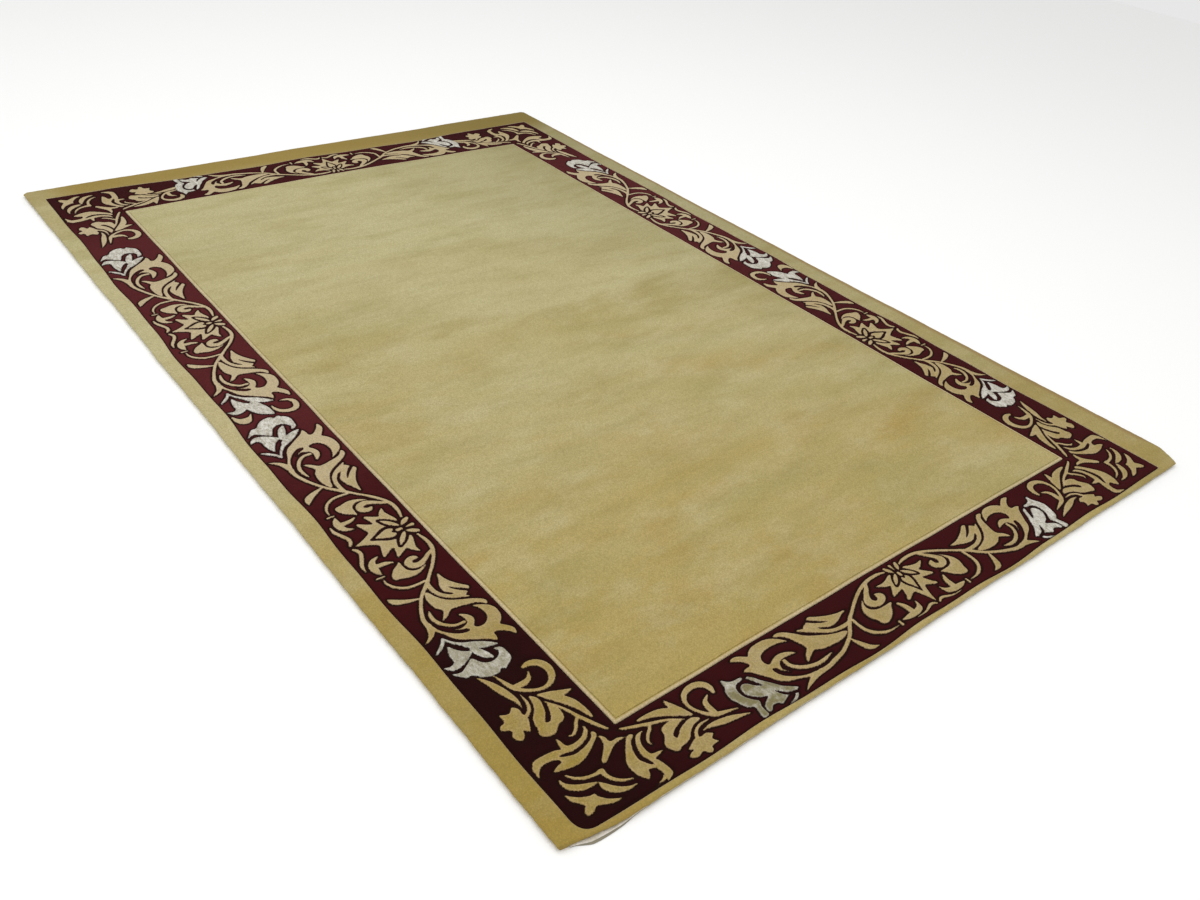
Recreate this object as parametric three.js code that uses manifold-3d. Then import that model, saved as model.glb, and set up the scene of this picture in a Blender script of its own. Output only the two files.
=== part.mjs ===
// Hand-knotted wool rug, lying flat: a plain field, a wide carved border, a plain outer strip,
// and a cotton web turned under at one end.
// Millimetres. X runs across the rug, Y along it, Z up from the floor.
// The origin is on the floor, under the middle of the rug.

import * as THREE from "three";
import Module from "manifold-3d";
import { mergeVertices } from "three/addons/utils/BufferGeometryUtils.js";

// Thicknesses: a cotton foundation, with the wool pile standing on it
const foundation = 3.5;
const pile = 9.5;
const top = foundation + pile;

// The plain field, up to the inner line of the border
const field = { width: 1530, length: 2500 };

// One row a side, anticlockwise from above. border and strip are their widths at the side's two ends,
// swing and waves are the depth and the count of the border line's wander.
const sides = [
  { name: "near", border: [143, 166], strip: [15, 17], swing: 3.0, waves: 3.5 },
  { name: "right", border: [200, 200], strip: [98, 70], swing: 3.0, waves: 4.5 },
  { name: "far", border: [204, 198], strip: [109, 75], swing: 6.0, waves: 2.5 },
  { name: "left", border: [184, 187], strip: [49, 46], swing: 3.0, waves: 5.5 },
];
const [near, right, far, left] = sides;

// The four lines that run round the rug, from the outside in. round has a row a corner, anticlockwise from
// the near left one: how far the corner's round reaches along the side before it and the side after it.
// full is how far the round fills its corner, from 0, a straight cut, to 1. wander is the share of the
// wander that the line takes, and the rest is how far it swells outward at the middle of each side.
const small = [3, 3];
const lines = {
  outline: {
    round: [[20, 120], [36, 66], [12, 12], [12, 12]],
    full: 0.2, wander: 0.35, near: 0, right: -7, far: 0, left: 0,
  },
  border: {
    round: [[40, 36], [6, 6], [6, 6], [6, 6]],
    full: 1, wander: 1, near: 6, right: 2, far: -12, left: 6,
  },
  field: { round: [small, small, small, small], full: 1, wander: 0.2, near: -4, right: 3, far: 10, left: 6 },
  middle: { round: [small, small, small, small], full: 1, wander: 0, near: 0, right: 0, far: 0, left: 0 },
};
const middleInset = 260;

// The rug's section from the underside's edge to the middle of the field. Each row lies between two
// lines, at a share of the way from one to the other, moved in by some millimetres, at a height.
const carved = 2.6;
const section = [
  { from: "outline", to: "border", share: 0, inset: 5.0, height: 0 },
  { from: "outline", to: "border", share: 0, inset: 3.4, height: foundation },
  { from: "outline", to: "border", share: 0, inset: 0.8, height: foundation + 0.35 * pile },
  { from: "outline", to: "border", share: 0, inset: 0.0, height: foundation + 0.62 * pile },
  { from: "outline", to: "border", share: 0, inset: 1.6, height: foundation + 0.84 * pile },
  { from: "outline", to: "border", share: 0, inset: 3.0, height: foundation + 0.96 * pile },
  { from: "outline", to: "border", share: 0, inset: 4.8, height: top },
  { from: "outline", to: "border", share: 1, inset: -2.5, height: top },
  { from: "outline", to: "border", share: 1, inset: 0.0, height: top - carved },
  { from: "border", to: "field", share: 0, inset: 5.0, height: top },
  { from: "border", to: "field", share: 1, inset: -6.0, height: top },
  { from: "border", to: "field", share: 1, inset: -1.0, height: top - carved },
  { from: "field", to: "middle", share: 0, inset: 1.5, height: top - carved },
  { from: "field", to: "middle", share: 0, inset: 7.0, height: top },
  { from: "field", to: "middle", share: 1, inset: 0.0, height: top },
];

// Points along a side and round a corner
const steps = { near: 22, right: 32, far: 22, left: 32, corner: 4, web: 30 };

// The cotton web under the near end, with a round fold in front. It lies in a rebate, a gap clear of the
// pile, and near its left end it has slipped out from under the pile: fast over the first stretch, then back.
// Its stations lie closer together there, as a power of their count gives.
const web = { thick: 3.6, fold: 1.8, deep: 44, proud: 3.0, leftGap: 22, rightGap: 46, crowding: 1.8 };
const slip = { out: 12, rise: 38, fall: 150 };
const gap = 0.3;

// How far a line lies outward of the field, at the start (0) or the end (1) of a side
function reachOf(name, side, end) {
  const reach = { outline: side.border[end] + side.strip[end], border: side.border[end], field: 0 };
  return reach[name] ?? -middleInset;
}

// The four corners of a line, anticlockwise from the near left one
function cornersOf(name) {
  const halfWidth = field.width / 2;
  const halfLength = field.length / 2;
  return [
    new THREE.Vector2(-halfWidth - reachOf(name, left, 1), -halfLength - reachOf(name, near, 0)),
    new THREE.Vector2(halfWidth + reachOf(name, right, 0), -halfLength - reachOf(name, near, 1)),
    new THREE.Vector2(halfWidth + reachOf(name, right, 1), halfLength + reachOf(name, far, 0)),
    new THREE.Vector2(-halfWidth - reachOf(name, left, 0), halfLength + reachOf(name, far, 1)),
  ];
}

// How far a line lies outward of the straight side, at a share of the way along it
function swell(name, side, share) {
  const arch = Math.sin(Math.PI * share);
  const phase = 2 * Math.PI * side.waves * share;
  const wave = Math.sin(phase) + 0.5 * Math.sin(2.3 * phase + 1);
  const line = lines[name];
  return line[side.name] * arch + line.wander * side.swing * wave * Math.sqrt(Math.max(arch, 0));
}

// A point of a line, at a share of the way along one side between its corners' rounds
function spotOn(name, side, share) {
  const { round } = lines[name];
  const corners = cornersOf(name);
  const i = sides.indexOf(side);
  const along = corners[(i + 1) % 4].clone().sub(corners[i]);
  const first = round[i][1];
  const straight = along.length() - first - round[(i + 1) % 4][0];
  along.normalize();
  const outward = new THREE.Vector2(along.y, -along.x);
  const point = corners[i].clone().addScaledVector(along, first + share * straight);
  point.addScaledVector(outward, swell(name, side, share));
  return { point, outward };
}

// A line as a closed ring of points, with the outward direction at each. A corner is a quadratic curve
// from one side's end to the next one's start.
function ringOf(name) {
  const corners = cornersOf(name);
  return sides.flatMap((side, i) => {
    const ring = [];
    for (let k = 0; k <= steps[side.name]; k++) {
      ring.push(spotOn(name, side, k / steps[side.name]));
    }
    const end = ring.at(-1);
    const next = spotOn(name, sides[(i + 1) % 4], 0);
    const chord = end.point.clone().lerp(next.point, 0.5);
    const corner = chord.lerp(corners[(i + 1) % 4], lines[name].full);
    for (let k = 1; k < steps.corner; k++) {
      const share = k / steps.corner;
      const point = end.point.clone().lerp(corner, share).lerp(corner.clone().lerp(next.point, share), share);
      const outward = end.outward.clone().lerp(next.outward, share).normalize();
      ring.push({ point, outward });
    }
    return ring;
  });
}

// A closed body through a stack of rings, with both ends closed by flat faces. Each ring runs
// anticlockwise as seen from the stack's far end, and flatten gives a point its place in the end faces.
function bodyThrough(rings, flatten) {
  const count = rings[0].length;
  const positions = rings.flat().flatMap((point) => [point.x, point.y, point.z]);
  const faces = [];
  for (let i = 0; i + 1 < rings.length; i++) {
    for (let j = 0; j < count; j++) {
      const a = i * count + j;
      const b = i * count + ((j + 1) % count);
      faces.push(a, b, b + count, a, b + count, a + count);
    }
  }
  const last = (rings.length - 1) * count;
  for (const [a, b, c] of THREE.ShapeUtils.triangulateShape(rings[0].map(flatten), [])) {
    faces.push(c, b, a);
  }
  for (const [a, b, c] of THREE.ShapeUtils.triangulateShape(rings.at(-1).map(flatten), [])) {
    faces.push(last + a, last + b, last + c);
  }
  const geometry = new THREE.BufferGeometry();
  geometry.setAttribute("position", new THREE.Float32BufferAttribute(positions, 3));
  geometry.setIndex(faces);
  return geometry;
}

// The rug before its rebate is cut: the section carried round the four lines
function pileBody(rings) {
  const stack = section.map((row) =>
    rings[row.from].map((outer, k) => {
      const flat = outer.point.clone().lerp(rings[row.to][k].point, row.share);
      flat.addScaledVector(outer.outward, -row.inset);
      return new THREE.Vector3(flat.x, flat.y, row.height);
    }),
  );
  return bodyThrough(stack, (point) => new THREE.Vector2(point.x, point.y));
}

// The web: a flat strip that follows the near edge, with its round fold just proud of the pile's foot
function endWeb(outline) {
  const chain = [...outline.slice(-steps.corner), ...outline.slice(0, steps.near + 1 + steps.corner)];
  const foot = chain.map(({ point, outward }) => point.clone().addScaledVector(outward, -section[0].inset));
  const [nearLeft, nearRight] = cornersOf("outline");
  const nearEdge = [];
  for (let k = 0; k <= steps.web; k++) {
    const share = (k / steps.web) ** web.crowding;
    const x = THREE.MathUtils.lerp(nearLeft.x + web.leftGap, nearRight.x - web.rightGap, share);
    const after = foot.findIndex((point) => point.x > x);
    const [a, b] = [foot[after - 1], foot[after]];
    nearEdge.push(a.clone().lerp(b, (x - a.x) / (b.x - a.x)));
  }
  const inner = Math.max(...nearEdge.map((point) => point.y)) + web.deep;
  const stack = nearEdge.map((point) => {
    const along = point.x - nearEdge[0].x;
    const { smoothstep } = THREE.MathUtils;
    const slipped = smoothstep(along, 0, slip.rise) * (1 - smoothstep(along, slip.rise, slip.fall));
    const front = point.y - web.proud - slip.out * slipped;
    const profile = [
      [front, web.thick / 2],
      [front + 0.3 * web.fold, 0.2 * web.thick],
      [front + web.fold, 0],
      [inner, 0],
      [inner, web.thick],
      [front + web.fold, web.thick],
      [front + 0.3 * web.fold, 0.8 * web.thick],
    ];
    return profile.map(([y, z]) => new THREE.Vector3(point.x, y, z));
  });
  return bodyThrough(stack, (point) => new THREE.Vector2(point.y, point.z));
}

const wasm = await Module();
wasm.setup();

function solidOf(geometry) {
  const bare = geometry.clone();
  bare.deleteAttribute("normal");
  bare.deleteAttribute("uv");
  const merged = mergeVertices(bare);
  const mesh = new wasm.Mesh({
    numProp: 3,
    vertProperties: new Float32Array(merged.attributes.position.array),
    triVerts: new Uint32Array(merged.index.array),
  });
  return new wasm.Manifold(mesh);
}

function geometryOf(solid) {
  const mesh = solid.getMesh();
  const geometry = new THREE.BufferGeometry();
  geometry.setAttribute("position", new THREE.Float32BufferAttribute(mesh.vertProperties, 3));
  geometry.setIndex([...mesh.triVerts]);
  geometry.computeVertexNormals();
  return geometry;
}

const rings = Object.fromEntries(Object.keys(lines).map((name) => [name, ringOf(name)]));

const webGeometry = endWeb(rings.outline);
webGeometry.computeBoundingBox();

// The rebate is the web's box, opened to the front, with a gap left over and behind the web
const reach = webGeometry.boundingBox;
const rebate = new THREE.BoxGeometry(
  reach.max.x - reach.min.x + 2 * gap,
  reach.max.y + gap - (reach.min.y - 20),
  2 * (web.thick + gap),
);
rebate.translate((reach.min.x + reach.max.x) / 2, (reach.max.y + gap + reach.min.y - 20) / 2, 0);

const wool = new THREE.MeshStandardMaterial({ color: "#bfae74", roughness: 0.95, metalness: 0 });
const cotton = new THREE.MeshStandardMaterial({ color: "#d9d6ca", roughness: 0.9, metalness: 0 });

const body = new THREE.Mesh(geometryOf(solidOf(pileBody(rings)).subtract(solidOf(rebate))), wool);
body.name = "rug_body";
const tape = new THREE.Mesh(webGeometry, cotton);
tape.name = "end_web";

const rug = new THREE.Group();
rug.add(body, tape);

// The middle of the whole rug goes over the origin
const middle = new THREE.Box3().setFromObject(rug).getCenter(new THREE.Vector3());
rug.position.set(-middle.x, -middle.y, 0);

export default rug;
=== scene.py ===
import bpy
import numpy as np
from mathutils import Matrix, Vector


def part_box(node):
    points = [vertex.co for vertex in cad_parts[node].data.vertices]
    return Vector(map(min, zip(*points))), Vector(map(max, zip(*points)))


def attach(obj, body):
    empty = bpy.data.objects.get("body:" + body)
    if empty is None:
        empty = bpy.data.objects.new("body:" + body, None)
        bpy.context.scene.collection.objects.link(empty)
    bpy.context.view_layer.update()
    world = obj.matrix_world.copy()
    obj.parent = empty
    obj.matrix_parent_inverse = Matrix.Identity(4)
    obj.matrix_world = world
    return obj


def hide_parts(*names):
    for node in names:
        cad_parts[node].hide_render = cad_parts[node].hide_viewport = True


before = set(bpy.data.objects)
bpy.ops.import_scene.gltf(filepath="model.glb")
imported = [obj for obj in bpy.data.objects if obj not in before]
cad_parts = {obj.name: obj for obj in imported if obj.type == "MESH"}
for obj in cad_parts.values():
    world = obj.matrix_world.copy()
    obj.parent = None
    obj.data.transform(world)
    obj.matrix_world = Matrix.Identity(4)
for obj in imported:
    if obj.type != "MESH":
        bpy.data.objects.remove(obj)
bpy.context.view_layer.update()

# A hand-knotted wool rug, lying flat: a plain golden field, a wide carved burgundy border with scrolling
# leaves, lotuses and silk lilies, a plain outer strip, and a cotton web turned under at the near end.
# Lengths in the settings are millimetres, X across the rug, Y along it, Z up from the floor.

mm = 0.001
tiny = 1e-9  # keeps a divisor from being zero
near, right, far, left = 0, 1, 2, 3

# The camera of the photograph, in metres and radians, its lens and sensor in millimetres
camera = {
    "place": (-1.6921, -2.1497, 1.4858), "target": (-0.2815, -0.6363, 0.0), "roll": 0.1209,
    "lens": 30.94, "sensor": 36, "clip": (0.05, 60),
}


def placeCamera():
    data = bpy.data.cameras.new("camera")
    data.sensor_width, data.lens = camera["sensor"], camera["lens"]
    data.clip_start, data.clip_end = camera["clip"]
    seer = bpy.data.objects.new("camera", data)
    bpy.context.scene.collection.objects.link(seer)
    sight = Vector(camera["target"]) - Vector(camera["place"])
    turn = sight.to_track_quat("-Z", "Y").to_matrix().to_4x4()
    seer.matrix_world = Matrix.Translation(camera["place"]) @ turn @ Matrix.Rotation(camera["roll"], 4, "Z")
    bpy.context.scene.camera = seer


placeCamera()

# The rug's plan. A side's border and strip are their widths at its two ends, anticlockwise from above,
# swing and waves are the depth and the count of the border line's wander. A line's round has a row a
# corner, from the near left one: how far it reaches along the side before and the side after. full is how
# far a round fills its corner, wander the line's share of the wander, swell its outward bow on each side.
# The underside ends at the foot's width inside the outline.
plan = {
    "foundation": 3.5, "top": 13.0, "carved": 2.6,
    "fieldWidth": 1530, "fieldLength": 2500, "foot": 5.0,
    "sides": [
        {"border": (143, 166), "strip": (15, 17), "swing": 3.0, "waves": 3.5},
        {"border": (200, 200), "strip": (98, 70), "swing": 3.0, "waves": 4.5},
        {"border": (204, 198), "strip": (109, 75), "swing": 6.0, "waves": 2.5},
        {"border": (184, 187), "strip": (49, 46), "swing": 3.0, "waves": 5.5},
    ],
    "lines": {
        "outline": {"round": [(20, 120), (36, 66), (12, 12), (12, 12)], "full": 0.2, "wander": 0.35,
                    "swell": (0, -7, 0, 0)},
        "border": {"round": [(40, 36), (6, 6), (6, 6), (6, 6)], "full": 1, "wander": 1,
                   "swell": (6, 2, -12, 6)},
        "field": {"round": [(3, 3)] * 4, "full": 1, "wander": 0.2, "swell": (-4, 3, 10, 6)},
    },
}


# How far a line lies outside the field at one end of a side
def reachOf(name, side, end):
    border, strip = (plan["sides"][side][band][end] for band in ("border", "strip"))
    return {"outline": border + strip, "border": border, "field": 0}[name]


# The four corners of a line, anticlockwise from the near left one, around the middle of the field
def cornersOf(name):
    halfWidth, halfLength = plan["fieldWidth"] / 2, plan["fieldLength"] / 2
    return np.array([
        (-halfWidth - reachOf(name, left, 1), -halfLength - reachOf(name, near, 0)),
        (halfWidth + reachOf(name, right, 0), -halfLength - reachOf(name, near, 1)),
        (halfWidth + reachOf(name, right, 1), halfLength + reachOf(name, far, 0)),
        (-halfWidth - reachOf(name, left, 0), halfLength + reachOf(name, far, 1)),
    ], float)


# Outward bow: the line's swell times a half sine, and a wander of two sines that fades towards the corners
def swell(name, side, share):
    line, width = plan["lines"][name], plan["sides"][side]
    arch = np.clip(np.sin(np.pi * share), 0, 1)
    phase = 2 * np.pi * width["waves"] * share
    wave = np.sin(phase) + 0.5 * np.sin(2.3 * phase + 1)
    return line["swell"][side] * arch + line["wander"] * width["swing"] * wave * np.sqrt(arch)


def outwardOf(name, side):
    corners = cornersOf(name)
    along = corners[(side + 1) % 4] - corners[side]
    along /= np.hypot(*along)
    return np.array([along[1], -along[0]])


# A corner's round: a quadratic curve from the side before to the side after, its middle point drawn
# towards the corner
def roundAt(name, corner, share):
    line, corners = plan["lines"][name], cornersOf(name)
    before, after = corners[corner - 1] - corners[corner], corners[(corner + 1) % 4] - corners[corner]
    a = corners[corner] + before / np.hypot(*before) * line["round"][corner][0]
    b = corners[corner] + after / np.hypot(*after) * line["round"][corner][1]
    middle = (a + b) / 2 + (corners[corner] - (a + b) / 2) * line["full"]
    h = share[:, None]
    outward = (1 - h) * outwardOf(name, (corner - 1) % 4) + h * outwardOf(name, corner)
    return (1 - h) ** 2 * a + 2 * h * (1 - h) * middle + h**2 * b, outward


# Points of a line on one side, share 0 to 1 from corner to corner, with half of each corner's round,
# and the outward direction at each
def lineAt(name, side, share):
    line, corners = plan["lines"][name], cornersOf(name)
    start, end = corners[side], corners[(side + 1) % 4]
    length = np.hypot(*(end - start))
    first, last = line["round"][side][1], line["round"][(side + 1) % 4][0]
    gone = np.clip(share * length, first, length - last)
    bow = swell(name, side, (gone - first) / (length - first - last))
    points = start + (end - start) / length * gone[:, None] + outwardOf(name, side) * bow[:, None]
    outward = np.repeat(outwardOf(name, side)[None], len(share), 0)
    for corner, h in ((side, 0.5 + 0.5 * share * length / first),
                      ((side + 1) % 4, 0.5 - 0.5 * (1 - share) * length / last)):
        curved = (h < 1) if corner == side else (h > 0)
        if curved.any():
            points[curved], outward[curved] = roundAt(name, corner, h[curved])
    return points, outward / np.hypot(*outward.T)[:, None]


# Shares from 0 to 1 that lie closer together at both ends
def crowded(count, pull):
    u = np.linspace(0, 1, count + 1)
    return u - pull * np.sin(2 * np.pi * u) / (2 * np.pi)


# From the middle of the field to the origin of the part, which is under the middle of the whole rug
def partShift():
    edge = np.vstack([lineAt("outline", side, np.linspace(0, 1, 200))[0] for side in range(4)])
    low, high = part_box("rug_body")
    body = np.array([[low.x, low.y], [high.x, high.y]]) / mm
    return (body - [edge.min(0), edge.max(0)]).mean(0)


shift = partShift()

# How unevenly the pile stands: the height of each long swell, and its length, in millimetres
lie = {
    "swells": [(0.42, 610), (0.30, 270), (0.16, 118)], "seed": 7,
    "bend": 1.3, "bendRate": 0.37, "crossRate": 0.61,
}
lieRandom = np.random.default_rng(lie["seed"])
lieWaves = [(height, 2 * np.pi / length, lieRandom.uniform(0, 2 * np.pi, 3))
            for height, length in lie["swells"]]


# Height of the pile's lie at a spot: a sum of crossed sine waves, each turned by a random angle
def lieAt(x, y):
    height = np.zeros(np.shape(x))
    for swing, rate, (turn, a, b) in lieWaves:
        u, v = x * np.cos(turn) + y * np.sin(turn), y * np.cos(turn) - x * np.sin(turn)
        wave = np.sin(rate * u + a + lie["bend"] * np.sin(lie["bendRate"] * rate * v))
        height = height + swing * wave * np.cos(lie["crossRate"] * rate * v + b)
    return height


# 0 below a, 1 above b, smooth between
def ease(x, a, b):
    h = np.clip((x - a) / (b - a), 0, 1)
    return h * h * (3 - 2 * h)


sharpAngle = 50


# A mesh from numpy arrays: quads, and further faces with any number of corners
def meshFrom(name, points, quads, caps, slotOf, fields):
    points = points * mm
    points[:, :2] += shift * mm
    quads = quads.reshape(-1, 4)
    loops = np.concatenate([quads.ravel(), *caps])
    sizes = np.concatenate([np.full(len(quads), 4), [len(cap) for cap in caps]]).astype(int)
    mesh = bpy.data.meshes.new(name)
    mesh.vertices.add(len(points))
    mesh.vertices.foreach_set("co", points.astype(np.float32).ravel())
    mesh.loops.add(len(loops))
    mesh.loops.foreach_set("vertex_index", loops.astype(np.int32))
    mesh.polygons.add(len(sizes))
    mesh.polygons.foreach_set("loop_start", np.concatenate([[0], np.cumsum(sizes)[:-1]]).astype(np.int32))
    mesh.polygons.foreach_set("material_index", np.asarray(slotOf, np.int32))
    mesh.update(calc_edges=True)
    mesh.validate()
    for field, values in fields.items():
        layer = mesh.attributes.new(field, "FLOAT", "POINT")
        layer.data.foreach_set("value", np.asarray(values, np.float32).ravel())
    piece = bpy.data.objects.new(name, mesh)
    bpy.context.scene.collection.objects.link(piece)
    mesh.polygons.foreach_set("use_smooth", np.ones(len(sizes), bool))
    mesh.set_sharp_from_angle(angle=np.radians(sharpAngle))
    return piece


# A closed slab of pile: a top grid, plain walls down to the bed, and a bottom of strips across the grid
def slabFrom(name, top, bottomHeight, fields):
    rows, columns = top.shape[:2]
    index = np.arange(rows * columns).reshape(rows, columns)
    quads = np.stack([index[:-1, :-1], index[1:, :-1], index[1:, 1:], index[:-1, 1:]], -1).reshape(-1, 4)
    rim = np.concatenate([index[0, :-1], index[:-1, -1], index[-1, :0:-1], index[:0:-1, 0]])
    low = top.reshape(-1, 3)[rim].copy()
    low[:, 2] = bottomHeight
    base = rows * columns
    lowRim = base + np.arange(len(rim))
    walls = np.stack([rim, np.roll(rim, -1), np.roll(lowRim, -1), lowRim], -1)
    lowRight = base + (columns - 1) + np.arange(rows)
    lowLeft = base + np.concatenate([[0], len(rim) - 1 - np.arange(rows - 1)])
    under = np.stack([lowLeft[1:-2], lowRight[1:-2], lowRight[2:-1], lowLeft[2:-1]], -1)
    firstEnd = np.concatenate([lowRim[:columns], [lowRight[1], lowLeft[1]]])
    lastRow = lowRim[columns + rows - 2 : 2 * columns + rows - 2]
    lastEnd = np.concatenate([lastRow, [lowLeft[-2], lowRight[-2]]])
    points = np.vstack([top.reshape(-1, 3), low])
    allQuads = np.vstack([quads, walls, under])
    values = {field: np.concatenate([grid.ravel(), grid.ravel()[rim]]) for field, grid in fields.items()}
    return meshFrom(name, points, allQuads, [firstEnd, lastEnd], np.zeros(len(allQuads) + 2), values)


# A patch between four edges, at the shares given or at even ones: each spot is blended between the two
# edges along it and the two across it, less the blend of the four corners
def patchBetween(bottom, topEdge, start, end, shares=(None, None)):
    u, v = (np.linspace(0, 1, len(edge)) if given is None else given
            for edge, given in zip((bottom, start), shares))
    u, v = u[:, None, None], v[None, :, None]
    along = (1 - v) * bottom[:, None] + v * topEdge[:, None]
    across = (1 - u) * start[None] + u * end[None]
    corners = ((1 - u) * (1 - v) * bottom[0] + u * (1 - v) * bottom[-1]
               + (1 - u) * v * topEdge[0] + u * v * topEdge[-1])
    return along + across - corners


# The border's ornament, charted as half of a mirrored repeat, from the lotus (u = 0) to the lily
# (u = 462), with t outward over a band 188 wide. Three numbers make a point of a brush stroke (u, t, half
# width), two make a point of a closed outline, and cuts part the petals.
bandWidth = 188

lotus = {
    "wool": [
        [(0, 153), (7, 137), (15, 122), (24, 111), (40, 115), (58, 121), (61, 117), (52, 104), (45, 90),
         (57, 91), (73, 96), (75, 91), (66, 77), (61, 66), (70, 61), (83, 47), (68, 48), (52, 43), (32, 37),
         (14, 46), (0, 52)],
    ],
    "cut": [
        [(0, 119), (10, 103), (20, 86), (23, 70), (17, 54), (0, 48)],
        [(48, 74, 5.5), (34, 62, 11.5), (20, 49, 11.5), (8, 38, 9)],
    ],
}
lotusHeart = {
    "wool": [
        [(0, 107), (7, 94), (13, 81), (15, 70), (11, 62), (7, 60), (0, 67)],
        [(45, 71, 1.5), (33, 61, 5.5), (20, 50, 5), (13, 44, 2)],
        [(0, 53, 4.5), (0, 45, 4)],
        [(11, 37, 2), (18, 27, 6), (24, 17, 4.5)],
        [(0, 32, 1.5), (0, 17, 5)],
    ],
}
crest = {"wool": [[(7, 163, 3), (15, 157, 4.2), (28, 156, 4.5), (44, 163, 4.5), (62, 172, 4.2),
                   (80, 174, 1.5)]]}
budCap = {
    "wool": [
        [(52, 131, 1.5), (59, 146, 5.5), (72, 154, 8.5), (88, 155, 8), (104, 151, 1.5)],
        [(84, 114, 2.5), (79, 128, 5), (78, 145, 6)],
    ],
}
paisley = {
    "wool": [
        [(126, 137), (114, 132), (104, 123), (97, 112), (90, 103), (104, 102), (118, 100), (128, 90),
         (130, 76), (124, 58), (134, 70), (141, 86), (142, 104), (137, 120), (134, 133)],
        [(92, 24, 3), (100, 38, 4.5), (111, 54, 5.5), (118, 70, 7.5), (114, 84, 8.5), (104, 88, 8.5),
         (95, 80, 7.5), (94, 70, 6), (98, 63, 2)],
    ],
}
loop = {
    "wool": [
        [(119, 156, 1.5), (137, 154, 3), (154, 143, 3.5), (165, 126, 3.5), (168, 108, 3.5), (167, 86, 3)],
        [(112, 165, 2.5), (112, 149, 2)],
    ],
}
stem = {
    "wool": [
        [(34, 24, 2.5), (58, 19, 4.2), (84, 20, 4.8), (108, 30, 4.2), (133, 48, 3.8), (157, 70, 3.5),
         (180, 90, 5), (205, 112, 4), (232, 128, 4), (258, 140, 4.3), (285, 149, 5), (310, 150, 6),
         (327, 146, 5)],
        [(214, 121, 2), (208, 138, 5), (200, 155, 7.5), (190, 168, 8), (176, 175, 2)],
    ],
}
slitLeaf = {
    "wool": [
        [(170, 84, 3.5), (190, 88, 5), (212, 87, 5.5), (232, 80, 6), (246, 69, 6.5), (257, 55, 6.5),
         (273, 37, 1.5)],
        [(161, 54), (180, 62), (200, 70), (222, 72), (240, 66), (254, 54), (265, 42), (254, 30), (241, 21),
         (225, 31), (205, 42), (185, 49)],
    ],
    "cut": [
        [(172, 75, 2), (200, 80, 2.8), (222, 76, 3.2), (238, 66, 3), (245, 59, 1)],
        [(217, 56, 1), (230, 48, 2.8), (244, 36, 3.8), (254, 25, 4)],
    ],
}
boatLeaf = {
    "wool": [
        [(204, 105), (222, 112), (245, 114), (266, 111), (281, 103), (296, 110), (310, 118), (303, 103),
         (290, 90), (290, 75), (294, 60), (298, 45), (305, 31), (319, 19), (308, 15), (296, 22), (283, 38),
         (272, 56), (260, 73), (246, 85), (226, 94), (208, 99)],
    ],
}
acanthus = {
    "wool": [
        [(327, 148), (352, 137), (372, 129), (387, 119), (397, 106), (407, 93), (417, 79), (427, 67),
         (438, 59), (427, 54), (414, 53), (411, 46), (417, 37), (428, 27), (444, 17), (428, 12), (414, 17),
         (402, 25), (395, 29), (387, 22), (372, 14), (352, 11), (336, 13), (324, 20), (314, 31), (305, 47),
         (318, 41), (334, 37), (352, 38), (364, 43), (373, 52), (376, 62), (373, 72), (366, 75), (357, 69),
         (342, 64), (328, 68), (318, 76), (313, 84), (328, 81), (341, 80), (350, 84), (355, 93), (356, 103),
         (350, 115), (360, 103), (366, 90), (374, 90), (374, 101), (368, 112), (358, 123), (345, 133),
         (330, 140), (312, 144)],
        [(266, 127, 1.5), (280, 131, 3.8), (298, 132, 4.4), (316, 127, 4.5), (331, 117, 4.4), (341, 103, 4),
         (342, 86, 4)],
        [(356, 181, 1), (347, 168, 4), (336, 158, 6), (322, 152, 7), (305, 149, 6)],
    ],
}
lily = {
    "silk": [
        [(444, 184), (457, 177), (464, 166), (461, 150), (454, 137), (447, 128), (440, 120), (432, 116),
         (428, 124), (418, 134), (403, 143), (390, 149), (406, 156), (424, 159), (438, 159), (446, 165),
         (447, 174)],
        [(430, 106), (438, 96), (444, 82), (447, 63), (440, 67), (430, 75), (418, 88), (408, 102),
         (400, 117), (396, 123), (414, 122)],
        [(362, 146, 2), (380, 139, 3), (397, 127, 4.2), (412, 114, 6), (426, 107, 7)],
        [(399, 179, 1.5), (389, 166, 4), (375, 153, 4), (362, 147, 3)],
        [(476, 91, 3), (462, 99, 8.5), (445, 106, 9), (430, 111, 7)],
    ],
}
lilyLip = {
    "silk": [
        [(470, 179), (487, 169), (498, 160), (498, 151), (503, 144), (514, 137), (523, 125), (527, 110),
         (525, 101), (518, 94), (524, 85), (518, 79), (512, 70), (504, 63), (494, 60), (480, 60), (466, 61),
         (458, 66), (455, 77), (467, 73), (478, 78), (485, 87), (487, 98), (483, 109), (474, 117),
         (462, 122), (453, 128), (461, 139), (471, 152), (476, 161), (474, 170)],
    ],
}
budFill = {
    "silk": [
        [(448, 136), (464, 132), (482, 122), (496, 105), (505, 86), (488, 85), (466, 88), (446, 98),
         (436, 116)],
    ],
}
hook = {
    "wool": [
        [(12, 78, 1.5), (25, 77, 4), (38, 71, 5), (48, 60, 6.2), (52, 44, 7), (47, 29, 7.5), (33, 22, 7.5),
         (18, 22, 6.5), (7, 30, 4.5), (2, 42, 3), (1, 51, 1)],
        [(10, 182), (26, 183), (41, 178), (51, 168), (54, 157), (50, 147), (38, 141), (17, 135), (28, 145),
         (30, 158), (26, 170)],
    ],
}
halfRepeat = [lotus, lotusHeart, crest, budCap, paisley, loop, stem, slitLeaf, boatLeaf, acanthus]
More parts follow.
